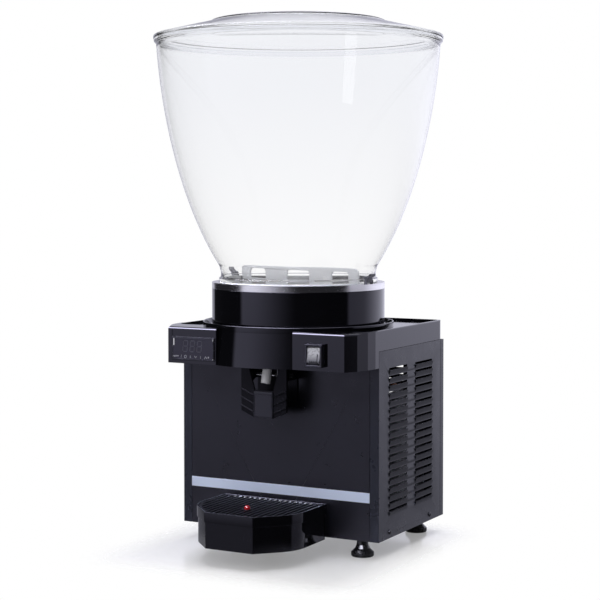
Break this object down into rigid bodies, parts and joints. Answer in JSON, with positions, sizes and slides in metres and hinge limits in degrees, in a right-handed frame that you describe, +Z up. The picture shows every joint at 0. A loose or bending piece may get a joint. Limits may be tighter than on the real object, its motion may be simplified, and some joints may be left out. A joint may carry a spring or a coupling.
{
  "type": "cold drink dispenser",
  "caption": "Cold drink dispenser: a clear mixing tank over a chilled steel bowl on a sheet metal cabinet, with a press tap over a removable drip tray.",
  "frame": {"origin": "on the floor under the axis of the tank and the bowl", "axes": "+Z up, -Y towards the tap and the drip tray, +X to the right as seen from the tap"},
  "size_m": [0.4416, 0.4416, 0.8004],
  "materials": {
    "zinc_steel": "zinc plated sheet",
    "front_paint": "satin black powder coat",
    "charcoal_paint": "satin charcoal powder coat",
    "silver_strip": "satin silver, plain",
    "screw_black": "black zinc",
    "black_gloss": "gloss black moulding",
    "black_satin": "satin black moulding",
    "stainless": "brushed stainless steel",
    "copper": "bare copper tube",
    "foam": "rigid foam",
    "seal": "soft translucent seal",
    "clip_grey": "dark grey moulding",
    "compressor_paint": "black enamel",
    "grommet_rubber": "rubber",
    "fin_aluminium": "bare fins",
    "grey_steel": "grey sheet",
    "motor_case": "motor housing",
    "fan_plastic": "moulded fan",
    "magnet": "ferrite magnet disc",
    "white_plastic": "food safe white moulding",
    "blade_plastic": "translucent white moulding",
    "display": "dark display window",
    "rocker_clear": "clear splash cap",
    "hose_white": "soft silicone hose",
    "steel_pin": "bright steel",
    "float_red": "red float",
    "clear_tank": "clear moulded tank",
    "foot_black": "black rubber foot"
  },
  "bodies": {
    "cabinet": {"base_pan": "zinc_steel", "front_panel": "front_paint", "label_strip": "silver_strip", "side_panel_left": "charcoal_paint", "side_panel_right": "charcoal_paint", "rear_panel": "charcoal_paint", "panel_screws": "screw_black", "support_plate": "zinc_steel", "top_cover": "black_gloss", "drip_ring": "black_gloss", "collar": "black_gloss", "evaporator_bowl": "stainless", "evaporator_coil": "copper", "bowl_insulation": "foam", "tank_gasket": "seal", "clip_brackets": "clip_grey", "compressor": "compressor_paint", "compressor_grommets": "grommet_rubber", "condenser": "fin_aluminium", "fan_shroud": "grey_steel", "fan_motor": "motor_case", "filter_drier": "copper", "refrigerant_pipes": "copper", "mixer_motor": "motor_case", "motor_bracket": "zinc_steel", "thermostat_body": "black_satin", "thermostat_face": "display", "switch_body": "black_gloss", "tap_body": "black_satin", "outlet_hose": "hose_white", "tap_pin": "steel_pin", "tray_bracket": "front_paint", "cable_gland": "black_satin"},
    "fan": {"fan_blade": "fan_plastic"},
    "drive": {"drive_magnet": "magnet"},
    "rotor": {"mixer_rotor": "white_plastic"},
    "blade": {"mixer_blade": "blade_plastic"},
    "rocker": {"rocker": "rocker_clear"},
    "lever": {"tap_lever": "black_satin", "tap_spring": "steel_pin"},
    "tray": {"drip_tray": "black_gloss"},
    "grille": {"drip_grille": "black_gloss"},
    "float": {"float_indicator": "float_red"},
    "tank": {"tank": "clear_tank"},
    "lid": {"lid": "clear_tank"},
    "clip_left": {"tank_clip_left": "clip_grey"},
    "clip_right": {"tank_clip_right": "clip_grey"},
    "foot_front_left": {"foot_front_left": "foot_black"},
    "foot_front_right": {"foot_front_right": "foot_black"},
    "foot_rear_left": {"foot_rear_left": "foot_black"},
    "foot_rear_right": {"foot_rear_right": "foot_black"}
  },
  "joints": [
    {"name": "fan_spin", "type": "hinge", "parent": "cabinet", "child": "fan", "pos_m": [0.1083, 0.054, 0.1312], "axis": [1, 0, 0], "continuous": true},
    {"name": "drive_spin", "type": "hinge", "parent": "cabinet", "child": "drive", "pos_m": [0, 0, 0.308], "axis": [0, 0, 1], "continuous": true},
    {"name": "mixer_spin", "type": "hinge", "parent": "cabinet", "child": "rotor", "pos_m": [0, 0, 0.33], "axis": [0, 0, 1], "continuous": true},
    {"name": "blade_lift", "type": "slide", "parent": "rotor", "child": "blade", "axis": [0, 0, 1], "range_m": [0, 0.06]},
    {"name": "rocker_tilt", "type": "hinge", "parent": "cabinet", "child": "rocker", "pos_m": [0.1034, -0.139, 0.304], "axis": [1, 0, 0], "range_deg": [0, 16]},
    {"name": "lever_press", "type": "hinge", "parent": "cabinet", "child": "lever", "pos_m": [0, -0.084, 0.266], "axis": [1, 0, 0], "range_deg": [0, 12], "stiffness_Nm_per_rad": 0.5, "springref_deg": -5.73},
    {"name": "tray_lift", "type": "slide", "parent": "cabinet", "child": "tray", "axis": [0, 0, 1], "range_m": [0, 0.04]},
    {"name": "grille_lift", "type": "slide", "parent": "tray", "child": "grille", "axis": [0, 0, 1], "range_m": [0, 0.05]},
    {"name": "float_rise", "type": "slide", "parent": "grille", "child": "float", "axis": [0, 0, 1], "range_m": [0, 0.01]},
    {"name": "tank_lift", "type": "slide", "parent": "cabinet", "child": "tank", "axis": [0, 0, 1], "range_m": [0, 0.1]},
    {"name": "lid_lift", "type": "slide", "parent": "tank", "child": "lid", "axis": [0, 0, 1], "range_m": [0, 0.1]},
    {"name": "clip_right_turn", "type": "hinge", "parent": "cabinet", "child": "clip_right", "pos_m": [0.1261, -0.01325, 0.4051], "axis": [0.1045, 0.9945, 0], "range_deg": [0, 60]},
    {"name": "clip_left_turn", "type": "hinge", "parent": "cabinet", "child": "clip_left", "pos_m": [-0.1261, 0.01325, 0.4051], "axis": [-0.1045, -0.9945, 0], "range_deg": [0, 60]},
    {"name": "foot_front_left_turn", "type": "hinge", "parent": "cabinet", "child": "foot_front_left", "pos_m": [-0.1315, -0.044, 0.026], "axis": [0, 0, 1], "continuous": true},
    {"name": "foot_front_right_turn", "type": "hinge", "parent": "cabinet", "child": "foot_front_right", "pos_m": [0.1315, -0.044, 0.026], "axis": [0, 0, 1], "continuous": true},
    {"name": "foot_rear_left_turn", "type": "hinge", "parent": "cabinet", "child": "foot_rear_left", "pos_m": [-0.1315, 0.15, 0.026], "axis": [0, 0, 1], "continuous": true},
    {"name": "foot_rear_right_turn", "type": "hinge", "parent": "cabinet", "child": "foot_rear_right", "pos_m": [0.1315, 0.15, 0.026], "axis": [0, 0, 1], "continuous": true}
  ],
  "couplings": [
    {"joint": "mixer_spin", "follows": "drive_spin", "ratio": 1}
  ]
}
